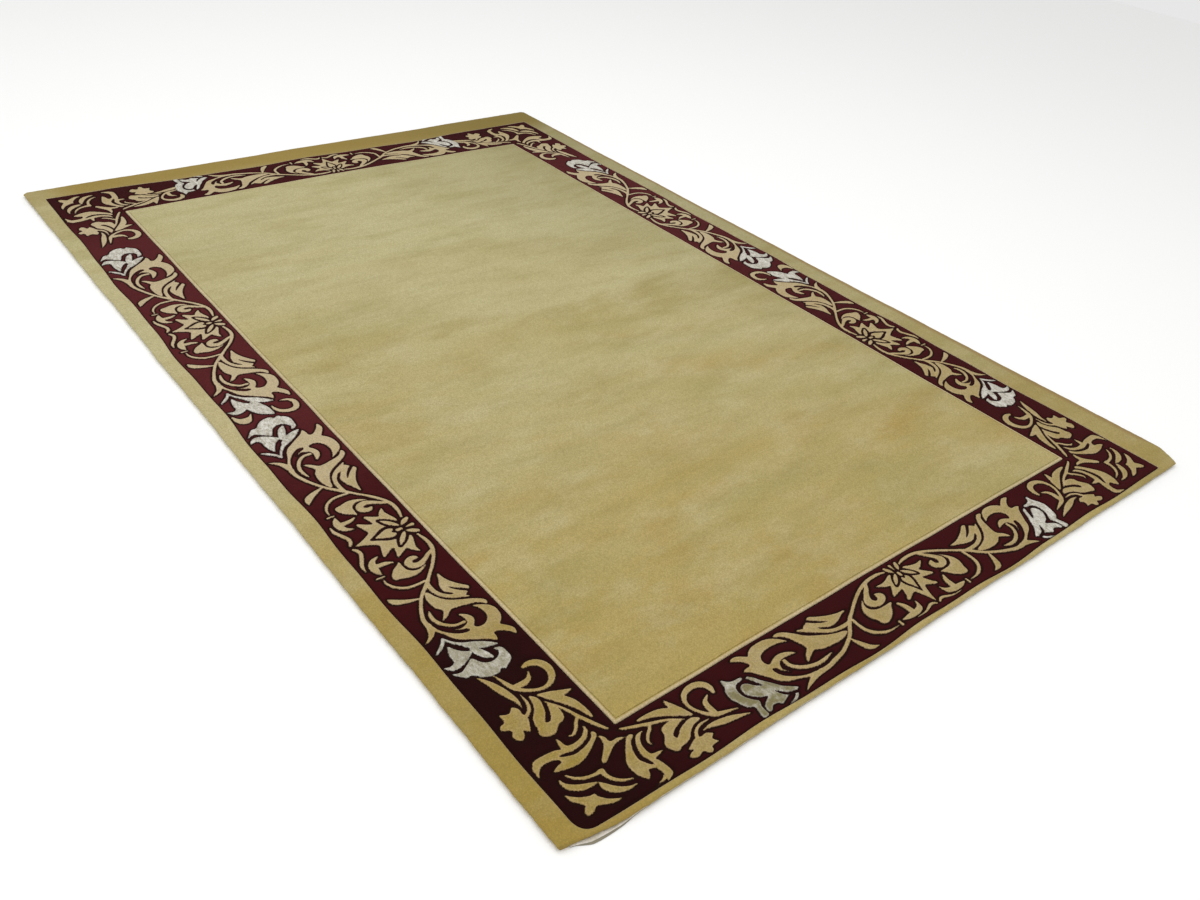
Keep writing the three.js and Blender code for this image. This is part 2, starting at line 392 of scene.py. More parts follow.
# The narrower lily of the near and far sides
endLily = {
    "silk": [
        [(436, 187, 2), (420, 182, 3), (409, 174, 3.5), (404, 164, 3)],
        [(394, 162), (404, 150), (418, 137), (430, 118), (442, 100), (450, 84), (459, 73), (464, 76),
         (460, 92), (450, 112), (462, 102), (472, 88), (482, 84), (491, 92), (493, 108), (486, 122),
         (475, 134), (460, 142), (470, 150), (482, 160), (485, 176), (478, 178), (468, 169), (456, 169),
         (448, 176), (436, 171), (422, 165)],
    ],
    "cut": [
        [(404, 168, 4), (424, 160, 3.5), (432, 150, 3), (438, 140, 1)],
        [(450, 110, 1.5), (459, 95, 3.5), (468, 78, 4.5)],
    ],
}
endLip = {
    "silk": [
        [(490, 183), (504, 183), (503, 168), (500, 150), (512, 140), (519, 122), (525, 98), (521, 78),
         (514, 64), (510, 46), (502, 56), (492, 63), (472, 66), (474, 73), (492, 77), (500, 92), (499, 112),
         (490, 130), (482, 142), (488, 158)],
    ],
}

# The end of a side: e runs along it from the field's corner, and below 0 past the corner
endSpray = [
    {"wool": [[(226, 145, 1), (210, 137, 4.5), (188, 129, 7.5), (165, 122, 7.5), (143, 116, 4.5),
               (124, 116, 1)]]},
    {"wool": [[(202, 58, 3.5), (203, 45, 6.5), (197, 31, 8), (185, 22, 8.5), (170, 20, 8), (155, 25, 7),
               (144, 36, 5.5), (139, 50, 4.2), (141, 66, 3.8), (149, 82, 3.8), (160, 96, 4.5),
               (172, 104, 5.5), (190, 110, 4), (215, 117, 1)],
              [(171, 103, 5), (169, 90, 6.5), (169, 76, 6.5), (174, 65, 4.5), (187, 57, 1.5)]]},
    {"wool": [[(150, 102, 1), (128, 102, 3), (112, 109, 3.5), (103, 122, 4)],
              [(131, 161), (117, 161), (112, 166), (111, 172), (105, 177), (99, 174), (94, 164), (88, 162),
               (80, 167), (71, 165), (64, 156), (70, 148), (80, 143), (76, 139), (73, 134), (80, 129),
               (92, 123), (103, 120), (112, 124), (123, 123), (132, 129), (134, 134), (126, 142),
               (127, 151)]]},
    {"wool": [[(138, 91), (120, 95), (105, 103), (92, 115), (80, 119), (68, 121), (58, 125), (50, 121),
               (45, 111), (44, 100), (50, 91), (57, 82), (59, 72), (65, 65), (75, 62), (88, 62), (110, 71),
               (95, 77), (80, 84), (71, 92), (73, 100), (80, 96), (90, 88), (105, 82), (120, 79),
               (130, 82)]]},
    {"wool": [[(112, 74, 1), (90, 60, 2.8), (72, 51, 3.2), (52, 44, 4), (30, 34, 4.2), (8, 23, 3.5),
               (0, 18, 2.5)],
              [(26, 84, 1), (24, 76, 2.8), (32, 64, 3.4), (43, 55, 3.4), (50, 47, 3)]]},
    {"wool": [[(133, 76), (122, 72), (105, 60), (86, 47), (64, 35), (38, 26), (38, 21), (56, 20), (80, 23),
               (94, 29), (104, 35), (105, 26), (108, 13), (114, 24), (120, 38), (127, 54)]]},
    {"wool": [[(-22, 182), (0, 180), (10, 175), (18, 166), (18, 140), (15, 122), (12, 113), (24, 110),
               (34, 106), (24, 103), (12, 100), (9, 88), (10, 75), (15, 63), (22, 55), (31, 49), (18, 49),
               (8, 57), (1, 70), (-3, 85), (-4, 98), (-1, 110), (2, 121), (-2, 124), (-9, 112), (-14, 100),
               (-12, 82), (-7, 68), (1, 55), (11, 46), (4, 41), (-6, 48), (-16, 60), (-27, 75), (-36, 90),
               (-40, 105), (-38, 125), (-32, 142), (-26, 153), (-18, 142), (-14, 130), (-4, 133), (1, 141),
               (2, 155), (-1, 167), (-10, 175)]]},
]
# The corner ornament: p and q run outward from the field's corner, and each row is mirrored over the diagonal
corner = [
    {"wool": [[(4, 42), (20, 43), (34, 48), (50, 60), (66, 72), (72, 66), (60, 50), (48, 34), (43, 20),
               (42, 4), (34, 16), (32, 32), (16, 34)]]},
    {"wool": [[(47, 141, 1.5), (64, 132, 3.2), (77, 117, 4), (83, 100, 4.2), (84, 84, 6)]]},
    {"wool": [[(50, 156, 1.5), (64, 155, 4), (80, 147, 7), (92, 134, 8), (99, 118, 6), (102, 105, 1.5)]]},
    {"wool": [[(88, 166), (106, 165), (121, 157), (133, 150), (147, 154), (158, 158), (158, 147), (150, 133),
               (157, 121), (165, 106), (166, 88), (160, 96), (148, 110), (132, 120), (122, 122), (120, 132),
               (110, 148), (96, 160)]]},
]


# Where the lotuses and lilies stand along each side, from its far or left field corner: the lily before,
# the lotus, the lily after, and the lily's motifs. A spread has pairs of a spot's distance from the lotus
# and its place in the repeat, and rises have pairs of t on that side and in the chart. A hook fills the
# middle of a long side. A shaded lily's silk lies partly away from the light.
openLily, closedLily, narrowLily = [lily, lilyLip], [lily, budFill], [endLily, endLip]
wideSpread = [(0, 0), (44, 56), (80, 84), (205, 168), (235, 200), (292, 254), (325, 272), (375, 314),
              (438, 366), (497, 438), (566, 526)]
ornament = {
    near: {"repeats": [(280, 783, 1243, narrowLily, narrowLily)], "hooks": [], "shaded": [(280, 1.0)],
           "spread": {-1: wideSpread,
                      1: [(0, 0), (44, 56), (80, 84), (130, 124), (190, 168), (228, 205), (300, 271),
                          (335, 306), (393, 366), (457, 438), (527, 526)]},
           "rise": [(-60, -60), (100, 100), (163, 154), (172, 166), (180, 184), (260, 264)],
           "sprayRise": [(-60, -60), (34, 35), (144, 130), (183, 178), (260, 255)]},
    right: {"repeats": [(312, 787, 1250, openLily, openLily), (1375, 1812, 2220, closedLily, openLily)],
            "hooks": [(1374, -1)], "shaded": []},
    far: {"repeats": [(266, 770, 1264, narrowLily, narrowLily)], "hooks": [], "shaded": [],
          "spread": {-1: wideSpread, 1: wideSpread},
          "sprayRise": [(-60, -60), (16, 16), (107, 127), (165, 179), (260, 270)]},
    left: {"repeats": [(325, 808, 1256, openLily, closedLily), (1370, 1832, 2234, openLily, openLily)],
           "hooks": [(1250, 1)], "shaded": [(2240, 0.55)]},
}
# In the repeat: up to where the lotus isn't stretched, where the lily stands, how far a half is drawn and
# how much farther its spread runs on, and the depth that stands for any spot well outside a motif
lotusReach, lilyAt, halfReach, spreadOn, outside = 175, 462, 800, 300, -14.0


# A curve through the points: between each two it is the cubic whose slope at a point is half the chord
# between that point's neighbours
def splineThrough(points, closed=False, steps=5):
    p = np.asarray(points, float)
    if closed:
        a, b, c, d = (np.roll(p, k, 0) for k in (1, 0, -1, -2))
    else:
        longer = np.vstack([2 * p[0] - p[1], p, 2 * p[-1] - p[-2]])
        a, b, c, d = longer[:-3], longer[1:-2], longer[2:-1], longer[3:]
    h = (np.arange(steps) / steps)[:, None, None]
    curve = ((2 * h**3 - 3 * h**2 + 1) * b + (h**3 - 2 * h**2 + h) * 0.5 * (c - a)
             + (3 * h**2 - 2 * h**3) * c + (h**3 - h**2) * 0.5 * (d - b))
    curve = curve.transpose(1, 0, 2).reshape(-1, p.shape[1])
    return curve if closed else np.vstack([curve, p[-1]])


# Depth of each spot inside a path, less than 0 outside it: for a stroke its half width less the distance
# to its middle line, for an outline the distance to it, positive where a ray crosses it an odd number of
# times. An outline that begins and ends at u = 0 is one half and is mirrored there.
def pathDepth(points, u, t):
    path = np.asarray(points, float)
    stroke = path.shape[1] == 3
    if not stroke and path[0, 0] == 0 and path[-1, 0] == 0:
        path = np.vstack([path, path[::-1][1:-1] * [-1, 1]])
    curve = splineThrough(path, closed=not stroke)
    start, end = (curve[:-1], curve[1:]) if stroke else (curve, np.roll(curve, -1, 0))
    reach = (curve[:, 2].max() if stroke else 0) - outside
    low, high = curve[:, :2].min(0) - reach, curve[:, :2].max(0) + reach
    depth = np.full(u.shape, outside)
    close = (u > low[0]) & (u < high[0]) & (t > low[1]) & (t < high[1])
    if not close.any():
        return depth
    x, y = u[close][:, None], t[close][:, None]
    (ax, ay), (dx, dy) = start[:, :2].T, (end - start)[:, :2].T
    share = np.clip(((x - ax) * dx + (y - ay) * dy) / (dx * dx + dy * dy + tiny), 0, 1)
    away = np.hypot(x - ax - share * dx, y - ay - share * dy)
    if stroke:
        inside = (start[:, 2] + share * (end - start)[:, 2] - away).max(1)
    else:
        crosses = ((ay > y) != (ay + dy > y)) & (x < ax + (y - ay) * dx / np.where(dy == 0, tiny, dy))
        inside = np.where(crosses.sum(1) % 2 == 1, 1, -1) * away.min(1)
    depth[close] = np.maximum(inside, outside)
    return depth


# The union of a motif's paths in one fibre, less its cuts
def motifDepth(motif, fibre, u, t):
    depth = np.full(u.shape, outside)
    for path in motif.get(fibre, []):
        depth = np.maximum(depth, pathDepth(path, u, t))
    if fibre in motif:
        for path in motif.get("cut", []):
            depth = np.minimum(depth, -pathDepth(path, u, t))
    return depth


# A number's partner in a table of pairs, along straight lines between them
def fromTable(table, value):
    return value if table is None else np.interp(value, *np.array(table, float).T)


# Depths in wool and silk on one side, with s along it from its far or left field corner and t outward.
# The repeat is brought to its place by stretching what lies between the lotus and the lily, evenly or by
# the side's own spread.
def ornamentOn(side, s, t, length):
    depth = {"wool": np.full(s.shape, outside), "silk": np.full(s.shape, outside)}
    layout = ornament[side]
    for lilyBefore, lotusAt, lilyAfter, motifsBefore, motifsAfter in layout["repeats"]:
        for sign, lilyPlace, lilyMotifs in ((-1, lilyBefore, motifsBefore), (1, lilyAfter, motifsAfter)):
            away, reach = (s - lotusAt) * sign, abs(lilyPlace - lotusAt)
            half = (away >= 0) & (away < halfReach)
            away = away[half]
            beyond = 2 * reach - lotusReach, 2 * lilyAt - lotusReach
            spread = [(0, 0), (lotusReach, lotusReach), (reach, lilyAt), beyond]
            if "spread" in layout:
                known, charted = layout["spread"][sign][-1]
                spread = layout["spread"][sign] + [(known + spreadOn, charted + spreadOn)]
            u = fromTable(spread, away)
            lilyU = away - reach + lilyAt if "spread" in layout else u
            risen = fromTable(layout.get("rise"), t[half])
            for motifs, across, outward in ((halfRepeat, u, risen), (lilyMotifs, lilyU, t[half])):
                for motif in motifs:
                    for fibre in depth.keys() & motif.keys():
                        drawn = motifDepth(motif, fibre, across, outward)
                        depth[fibre][half] = np.maximum(depth[fibre][half], drawn)
    for place, sign in layout["hooks"]:
        depth["wool"] = np.maximum(depth["wool"], motifDepth(hook, "wool", (s - place) * sign, t))
    neighbours = (far, near) if side in (left, right) else (left, right)
    for e, neighbour in zip((s, length - s), neighbours):
        own = (e, fromTable(layout.get("sprayRise"), t))
        others = (-t, fromTable(ornament[neighbour].get("sprayRise"), -e))
        for motif in endSpray:
            for a, b in (own, others):
                depth["wool"] = np.maximum(depth["wool"], motifDepth(motif, "wool", a, b))
        for motif in corner:
            for a, b in ((-e, t), (t, -e)):
                depth["wool"] = np.maximum(depth["wool"], motifDepth(motif, "wool", a, b))
    depth["wool"] = np.minimum(depth["wool"], np.where(depth["silk"] > 0, -depth["silk"], depth["wool"]))
    return depth["wool"], depth["silk"]


edgeGap = 0.03


# Moves a slab's outermost spots a hair inwards, so that neighbours don't touch
def drawnIn(flat):
    moved = flat.copy()
    for a, b in ((0, 1), (-1, -2)):
        for grid, source in ((moved, flat), (moved.transpose(1, 0, 2), flat.transpose(1, 0, 2))):
            step = source[b] - source[a]
            grid[a] += step / np.hypot(*step.T)[:, None] * edgeGap
    return moved


# The border: four slabs of pile, the long ones with the corner squares. Each motif stands in a groove
# carved into the pile, and the ground between the motifs is sheared a little lower.
border = {
    "cell": 2.6, "across": 74,
    "groove": 2.6, "grooveAt": -2.2, "grooveWidth": 3.0, "ground": 0.7, "shoulder": 5.5, "bottom": 3.6,
    "dome": 0.45, "domeOver": (0, 9), "groundOver": (-4, 1), "shadeOver": (100, 150),
    "tuft": 0.16, "tuftBelow": 0.1, "seed": 11,
    "width": [side["border"] for side in plan["sides"]],
}


# Shares of the border line of a side where the field's corners lie straight across from it
def crossShares(side):
    corners = cornersOf("border")
    length = np.hypot(*(corners[(side + 1) % 4] - corners[side]))
    before = plan["sides"][(side - 1) % 4]["border"][1]
    after = plan["sides"][(side + 1) % 4]["border"][0]
    return before / length, 1 - after / length


def lengthOf(side):
    return plan["fieldLength" if side in (left, right) else "fieldWidth"]


def cellsIn(length):
    return int(round(length / border["cell"])) + 1


def straight(a, b, count):
    return a + (b - a) * np.linspace(0, 1, count)[:, None]


# One side's grid, with rows along the side and columns from the border line in to the field line. Beyond
# the field's corners the rows carry on to the neighbours' border lines.
def borderGrid(side, withCorners):
    first, last = crossShares(side)
    columns = border["across"] + 1
    across = np.linspace(0, 1, columns)
    count = cellsIn(lengthOf(side))
    outer = lineAt("border", side, np.linspace(first, last, count))[0]
    inner = lineAt("field", side, np.linspace(0, 1, count))[0]
    startSeam, endSeam = (straight(outer[end], inner[end], columns) for end in (0, -1))
    parts = [(patchBetween(outer, inner, startSeam, endSeam), None)]
    if withCorners:
        before, after = (side - 1) % 4, (side + 1) % 4
        count = cellsIn(plan["sides"][before]["border"][1])
        edge = lineAt("border", side, np.linspace(0, first, count))[0]
        end = lineAt("border", before, 1 + (crossShares(before)[1] - 1) * across)[0]
        square = patchBetween(edge, straight(end[-1], inner[0], count), end, startSeam)
        parts.insert(0, (square[:-1], before))
        count = cellsIn(plan["sides"][after]["border"][0])
        edge = lineAt("border", side, np.linspace(last, 1, count))[0]
        end = lineAt("border", after, crossShares(after)[0] * across)[0]
        square = patchBetween(edge, straight(inner[-1], end[-1], count), endSeam, end)
        parts.append((square[1:], after))
    return parts


# Where a patch's spots lie in the ornament: s along the side from its far or left field corner, and t
# outward, both in the ornament's own millimetres beyond the field's corners
def ornamentPlace(side, patch, neighbour, length):
    rows, columns = patch.shape[:2]
    width = border["width"][side]
    if neighbour is None:
        s = np.repeat(np.linspace(0, length, rows)[:, None], columns, 1)
        t = np.repeat(bandWidth * np.linspace(1, 0, columns)[None], rows, 0)
    else:
        atStart = neighbour == (side - 1) % 4
        fieldCorner = cornersOf("field")[side if atStart else (side + 1) % 4]
        away = patch - fieldCorner
        widthHere = width[0 if atStart else 1]
        widthThere = border["width"][neighbour][1 if atStart else 0]
        t = bandWidth * (away @ outwardOf("field", side)) / widthHere
        beyond = bandWidth * (away @ outwardOf("field", neighbour)) / widthThere
        s = -beyond if atStart else length + beyond
    return (s if side in (near, left) else length - s), t


groundShades = {
    "sides": (-400, 400), "rightLess": 0.15, "leftRise": (-600, 0), "rightRise": (-950, 500),
    "fall": (950, 1350), "nearDark": (-1000, -750), "leftDark": (-900, -550), "inward": 0.7,
    "darkEnd": (-250, 50), "farDark": 0.4, "farFrom": (1150, 1450), "cornerFrom": (350, 800),
}


# How the burgundy is painted, from 1 where it is palest to -1 where it is darkest, painted sheen and shade
# of the pile as it meets the light: paler along the middle of the left side and farther up the right one,
# darkest at the near left corner, a little darker at the far corners
def groundShading(x, y):
    tones = groundShades
    toRight = ease(x, *tones["sides"])
    rise = [a + (b - a) * toRight for a, b in zip(tones["leftRise"], tones["rightRise"])]
    paintedPaler = (1 - tones["rightLess"] * toRight) * ease(y, *rise) * (1 - ease(y, *tones["fall"]))
    nearLeft = (1 - ease(y, *tones["nearDark"])) * (1 - tones["inward"] * ease(x, *tones["leftDark"]))
    nearLeft *= 1 - ease(x, *tones["darkEnd"])
    farCorners = tones["farDark"] * ease(y, *tones["farFrom"]) * ease(np.abs(x), *tones["cornerFrom"])
    return paintedPaler - nearLeft - farCorners


def borderSlab(name, side, withCorners):
    length = lengthOf(side)
    parts = borderGrid(side, withCorners)
    places = [ornamentPlace(side, patch, neighbour, length) for patch, neighbour in parts]
    flat = np.concatenate([patch for patch, neighbour in parts])
    s, t = (np.concatenate(grids) for grids in zip(*places))
    wool, silk = ornamentOn(side, s, t, length)
    depth = np.maximum(wool, silk)
    # Millimetres to the outer line, and to the line of the field, where the pile is carved down
    toOuter = (1 - t / bandWidth) * np.mean(border["width"][side])
    toField = t / bandWidth * np.mean(border["width"][side])
    if withCorners:
        beyond = np.maximum(-s, s - length)
        toOuter = np.minimum(toOuter, np.where(beyond > 0, bandWidth - beyond, toOuter))
        toField = np.hypot(np.maximum(toField, 0), np.maximum(beyond, 0))
    groove = np.exp(-(((depth - border["grooveAt"]) / border["grooveWidth"]) ** 2))
    carve = border["groove"] * groove
    edge = plan["carved"] * (1 - ease(np.minimum(toOuter, toField), 0, border["shoulder"]))
    carve = np.maximum(carve, edge)
    risen = border["dome"] * ease(depth, *border["domeOver"])
    sheared = border["ground"] * (1 - ease(depth, *border["groundOver"]))
    level = risen - sheared
    tuft = np.random.default_rng(border["seed"] + side).normal(0, border["tuft"], depth.shape)
    z = plan["top"] + lieAt(flat[..., 0], flat[..., 1]) + level - carve + tuft * (edge < border["tuftBelow"])
    shade = np.zeros(s.shape)
    for place, amount in ornament[side]["shaded"]:
        shade += amount * (1 - ease(np.abs(s - place), *border["shadeOver"]))
    top = np.dstack([drawnIn(flat), z])
    piece = slabFrom(name, top, border["bottom"],
                     {"wool": wool, "silk": silk, "carve": carve / plan["carved"], "shade": shade,
                      "paintedShading": groundShading(flat[..., 0], flat[..., 1])})
    print(name, len(piece.data.polygons), "faces")
    return piece


# The field: one slab, with a narrow rim that a fine carved line sets apart
field = {
    "cell": 10.0, "bottom": 3.6, "farFromEdge": 99,
    "rim": [(0, -2.6), (2.4, -0.5), (5, 0), (8.2, 0), (9.4, -1.7), (10.8, 0), (15, 0)],
}


# Shares of a length for the field's grid: the rim's own spots at both ends, and even cells between
def fieldShares(length):
    rim = np.array([inset for inset, drop in field["rim"]]) / length
    middle = np.linspace(rim[-1], 1 - rim[-1], int(length / field["cell"]))
    return np.concatenate([rim[:-1], middle, 1 - rim[:-1][::-1]])


def fieldSlab():
    width, length = plan["fieldWidth"], plan["fieldLength"]
    u, v = fieldShares(width), fieldShares(length)
    sides = (near, u), (far, 1 - u), (left, 1 - v), (right, v)
    edges = [lineAt("field", side, share)[0] for side, share in sides]
    flat = patchBetween(*edges, shares=(u, v))
    inset = np.minimum.outer(np.minimum(u, 1 - u) * width, np.minimum(v, 1 - v) * length)
    rim = np.array(field["rim"], float)
    z = plan["top"] + lieAt(flat[..., 0], flat[..., 1]) + np.interp(inset, rim[:, 0], rim[:, 1])
    piece = slabFrom("field_pile", np.dstack([drawnIn(flat), z]), field["bottom"],
                     {"rim": inset, "paintedShading": inset * 0, "edge": inset * 0 + field["farFromEdge"]})
    print("field_pile", len(piece.data.polygons), "faces")
    return piece


# The web under the near end, and the room for it under the pile
web = {
    "deep": 44, "proud": 3.0, "leftGap": 22, "rightGap": 46,
    "slip": 12, "slipRise": 38, "slipFall": 150, "setBack": 4.2, "steps": 900, "room": 3.2, "roomHigh": 3.9,
    "under": [(0, 0.0), (-12, 0.0), (-28, 0.0)],
    "front": [(1.2, 0.0), (0.3, 0.35), (0.0, 0.9), (0.3, 1.4)],
    "fold": [(0.6, 1.55), (0.25, 1.75), (0.0, 2.3), (0.15, 2.9), (0.6, 3.35), (1.3, 3.55), (2.2, 3.6),
             (4, 3.6), (8, 3.6), (14, 3.6)],
    "over": [(-18, 3.6), (0, 3.6)],
    "rib": 0.02, "ribPitch": 7.3,
}


# The web's places along X, for each the rug's foot and the web's front in Y, and the Y of its inner edge.
# The foot is followed along the near side and a little way round both corners.
def webLine():
    stretches = (left, 0.95, 1, 300), (near, 0, 1, 2400), (right, 0, 0.05, 300)
    lines = [lineAt("outline", side, np.linspace(start, end, count)) for side, start, end, count in stretches]
    toe = np.vstack([line - outward * plan["foot"] for line, outward in lines])
    corners = cornersOf("outline")
    first, last = corners[0, 0] + web["leftGap"], corners[1, 0] - web["rightGap"]
    bottom = toe[np.argmin(np.abs(toe[:, 0, None] - np.array([first, last])), 0)]
    x = first + (last - first) * np.linspace(0, 1, web["steps"] + 1)
    order = np.argsort(toe[:, 0])
    lower = toe[order]
    y = np.interp(x, lower[:, 0], lower[:, 1])
    along = x - first
    slip = web["slip"] * ease(along, 0, web["slipRise"])
    slip *= 1 - ease(along, web["slipRise"], web["slipFall"])
    return x, y, y - web["proud"] - slip, max(y.max(), bottom[:, 1].max()) + web["deep"]


webX, webToe, webFront, webInner = webLine()

# The rug's sheet: its underside, the pile's outer edge and the plain strip outside the border, and the bed
# that the other pile stands on
sheet = {
    "columns": {near: 330, right: 480, far: 330, left: 480}, "pull": 0.6, "beside": 1.0,
    "wobble": 0.7, "wobbles": [(61, 1, 1), (149, 1, 0), (331, 0.7, 0)], "wobbleOver": (2, 9), "lifted": 0.1,
    "stripRows": 9, "stripFrom": 4.8, "stripTo": -4.0, "lieOver": (-0.3, 0.5),
    "carve": [(2.2, 0.5), (0.9, 1.7), (0, plan["carved"])], "rim": 5.4,
    "edge": [(5.0, 0.0), (4.0, 1.8), (3.4, 3.5), (1.9, 5.0), (0.8, 6.8), (0.15, 8.2), (0.0, 9.4), (0.5, 10.5),
             (1.6, 11.5), (3.0, 12.6)],
}


def ringLine(name, inset):
    parts = [lineAt(name, side, crowded(sheet["columns"][side], sheet["pull"])[:-1]) for side in range(4)]
    points, outward = (np.vstack(group) for group in zip(*parts))
    return points - outward * inset


def rugSheet():
    beside = sheet["beside"]
    fieldIn, fieldOut = ringLine("field", beside), ringLine("field", -beside)
    borderIn, borderOut = ringLine("border", beside), ringLine("border", -beside)
    toe = ringLine("outline", plan["foot"])
    stepAt = webInner + web["room"]
    share = (stepAt - fieldOut[:, 1]) / (borderIn[:, 1] - fieldOut[:, 1] + tiny)
    crosses = (share > 0.01) & (share < 0.985) & (borderIn[:, 1] < stepAt)
    share = np.where(crosses, share, 0.8)[:, None]
    stepIn = fieldOut + (borderIn - fieldOut) * share
    stepOut = fieldOut + (borderIn - fieldOut) * (share + 0.002)
    room = np.array([webX[0] - web["room"], webX[-1] + web["room"]])
    wall = np.where(toe[:, 0] < 0, room[0], room[1])
    share = (wall - borderOut[:, 0]) / (toe[:, 0] - borderOut[:, 0] + tiny)
    share = np.where((share > 0.02) & (share < 0.96), share, 0.5)[:, None]
    wallIn = borderOut + (toe - borderOut) * (share - 0.01)
    wallOut = borderOut + (toe - borderOut) * (share + 0.01)

    def inRoom(points):
        return (points[:, 0] > room[0]) & (points[:, 0] < room[1]) & (points[:, 1] < stepAt)

    rows, bands = [], []
    for points, band in ((fieldIn, 0), (fieldOut, 1), (stepIn, 1), (stepOut, 1), (borderIn, 1),
                         (borderOut, 0), (wallIn, 0), (wallOut, 0)):
        lifted = (crosses if points is stepOut else inRoom(points)) & (points is not stepIn)
        rows.append(np.column_stack([points, np.where(lifted, web["roomHigh"], 0)]))
        bands.append(np.full(len(points), band))
    lift = np.where(inRoom(toe), web["roomHigh"], 0)
    around = np.linspace(0, 1, len(toe), endpoint=False)
    waves = sum(part * np.sin(2 * np.pi * rate * around + turn) for rate, part, turn in sheet["wobbles"])
    wobble = sheet["wobble"] * waves / 2
    for inset, height in sheet["edge"]:
        z = np.maximum(height, lift + sheet["lifted"] * height) * np.where(height > 0, 1, lift > 0)
        ring = ringLine("outline", inset)
        moved = wobble * ease(height, *sheet["wobbleOver"])
        ring = ring - (ringLine("outline", inset + 1) - ring) * moved[:, None]
        rows.append(np.column_stack([ring, z]))
    outer, inner = ringLine("outline", sheet["stripFrom"]), ringLine("border", sheet["stripTo"])
    for share in np.linspace(0, 1, sheet["stripRows"]):
        spot = outer + (inner - outer) * share
        rows.append(np.column_stack([spot, plan["top"] + lieAt(*spot.T) * ease(share, *sheet["lieOver"])]))
    for outset, drop in sheet["carve"]:
        spot = ringLine("border", -outset)
        rows.append(np.column_stack([spot, plan["top"] - drop + lieAt(*spot.T)]))
    spot = ringLine("border", 0)
    rows.append(np.column_stack([spot, np.full(len(spot), plan["foundation"])]))
    grid = np.stack(rows)
    count, around = grid.shape[:2]
    index = np.arange(count * around).reshape(count, around)
    turned = np.roll(index, -1, 1)
    quads = np.stack([index[:-1], turned[:-1], turned[1:], index[1:]], -1).reshape(-1, 4)
    under = len(bands) * around
    slots = np.zeros(len(quads) + 2)
    slots[:under] = 1
    slots[-2] = 1
    band = np.zeros(grid.shape[:2])
    band[: len(bands)] = np.stack(bands)
    x, y = grid[..., 0], grid[..., 1]
    toBorder, toEdge = (np.hypot(*np.moveaxis(grid[..., :2] - line, 2, 0))
                        for line in (ringLine("border", 0), ringLine("outline", 0)))
    toEdge += 28 * (1 - ease(x, 900, 960) * ease(y, -1400, -1300) * (1 - ease(y, 1300, 1420)))
    piece = meshFrom("rug_sheet", grid.reshape(-1, 3), quads, [index[0, ::-1], index[-1]], slots,
                     {"band": band, "rim": toBorder + sheet["rim"], "paintedShading": stripShading(x, y), "edge": toEdge})
    print("rug_sheet", len(piece.data.polygons), "faces")
    return piece


# How the strip's colour is painted, from 1, darker and more golden, to -1, paler: painted sheen and shade of
# the pile as it meets the light, most golden at the far end and on the left near the camera, paler along
# the middle of the left side and a little along the right one
def stripShading(x, y):
    farEnd = ease(y, 1300, 1480) * (0.5 + 0.5 * ease(x, -980, -820))
    leftSide = 0.6 * ease(-y, 200, 1300) - 0.5 * ease(y, -700, 0) * (1 - ease(y, 500, 1200))
    leftSide += 0.3 * ease(y, 1080, 1240) * (1 - ease(y, 1290, 1400))
    rightSide = 0.25 * ease(-y, 300, 1300) - 0.3 * ease(y, -200, 300) * (1 - ease(y, 1100, 1300))
    return np.clip(farEnd + ease(-x, 700, 930) * leftSide + ease(x, 700, 930) * rightSide, -1, 1)


# The web: a closed strip, its section a lower layer that runs out to the front, and an upper layer folded
# back a little behind it where the web has slipped out
def endWeb():
    back = web["setBack"] * (webToe - web["proud"] - webFront) / web["slip"]
    starts = {"under": webInner, "front": webFront, "fold": webFront + back, "over": webInner}
    section = [(start + out, height) for run, start in starts.items() for out, height in web[run]]
    grid = np.stack([np.column_stack([webX, place + 0 * webX, np.full(len(webX), height)])
                     for place, height in section])
    grid[..., 2] *= 1 + web["rib"] * np.sin(2 * np.pi * grid[..., 0] / web["ribPitch"])
    count, along = grid.shape[:2]
    index = np.arange(count * along).reshape(count, along)
    below = np.roll(index, -1, 0)
    quads = np.stack([index[:, :-1], index[:, 1:], below[:, 1:], below[:, :-1]], -1).reshape(-1, 4)
    piece = meshFrom("web_strip", grid.reshape(-1, 3), quads, [index[:, 0], index[::-1, -1]],
                     np.zeros(len(quads) + 2), {"height": grid[..., 2]})
    print("web_strip", len(piece.data.polygons), "faces")
    return piece


def linearColour(code):
    parts = [int(code[at : at + 2], 16) / 255 for at in (0, 2, 4)]
    return [part / 12.92 if part <= 0.04045 else ((part + 0.055) / 1.055) ** 2.4 for part in parts] + [1]


# Adds a node, sets its options, and gives its sockets values, colour codes or the outputs of other nodes
def addNode(tree, kind, options=None, sockets=None):
    node = tree.nodes.new("ShaderNode" + kind)
    for name, value in (options or {}).items():
        setattr(node, name, value)
    for key, value in (sockets or {}).items():
        if isinstance(value, bpy.types.Node):
            value = value.outputs[0]
        if isinstance(value, str):
            value = linearColour(value)
        if isinstance(value, bpy.types.NodeSocket):
            tree.links.new(value, node.inputs[key])
        else:
            node.inputs[key].default_value = value
    return node


def newMaterial(name):
    material = bpy.data.materials.new(name)
    material.use_nodes = True
    tree = material.node_tree
    tree.nodes.clear()
    return material, tree


def surfaceFrom(tree, sockets):
    shader = addNode(tree, "BsdfPrincipled", None, sockets)
    addNode(tree, "OutputMaterial", None, {"Surface": shader})
    return shader


# Noise over the rug: waves a metre is how many per metre along X, Y and Z
def noiseOver(tree, wavesPerMetre, detail=2.0, rough=0.5):
    place = addNode(tree, "TexCoord").outputs["Object"]
    scaled = addNode(tree, "VectorMath", {"operation": "MULTIPLY"}, {0: place, 1: wavesPerMetre})
    sockets = {"Vector": scaled, "Scale": 1.0, "Detail": detail, "Roughness": rough}
    return addNode(tree, "TexNoise", None, sockets)


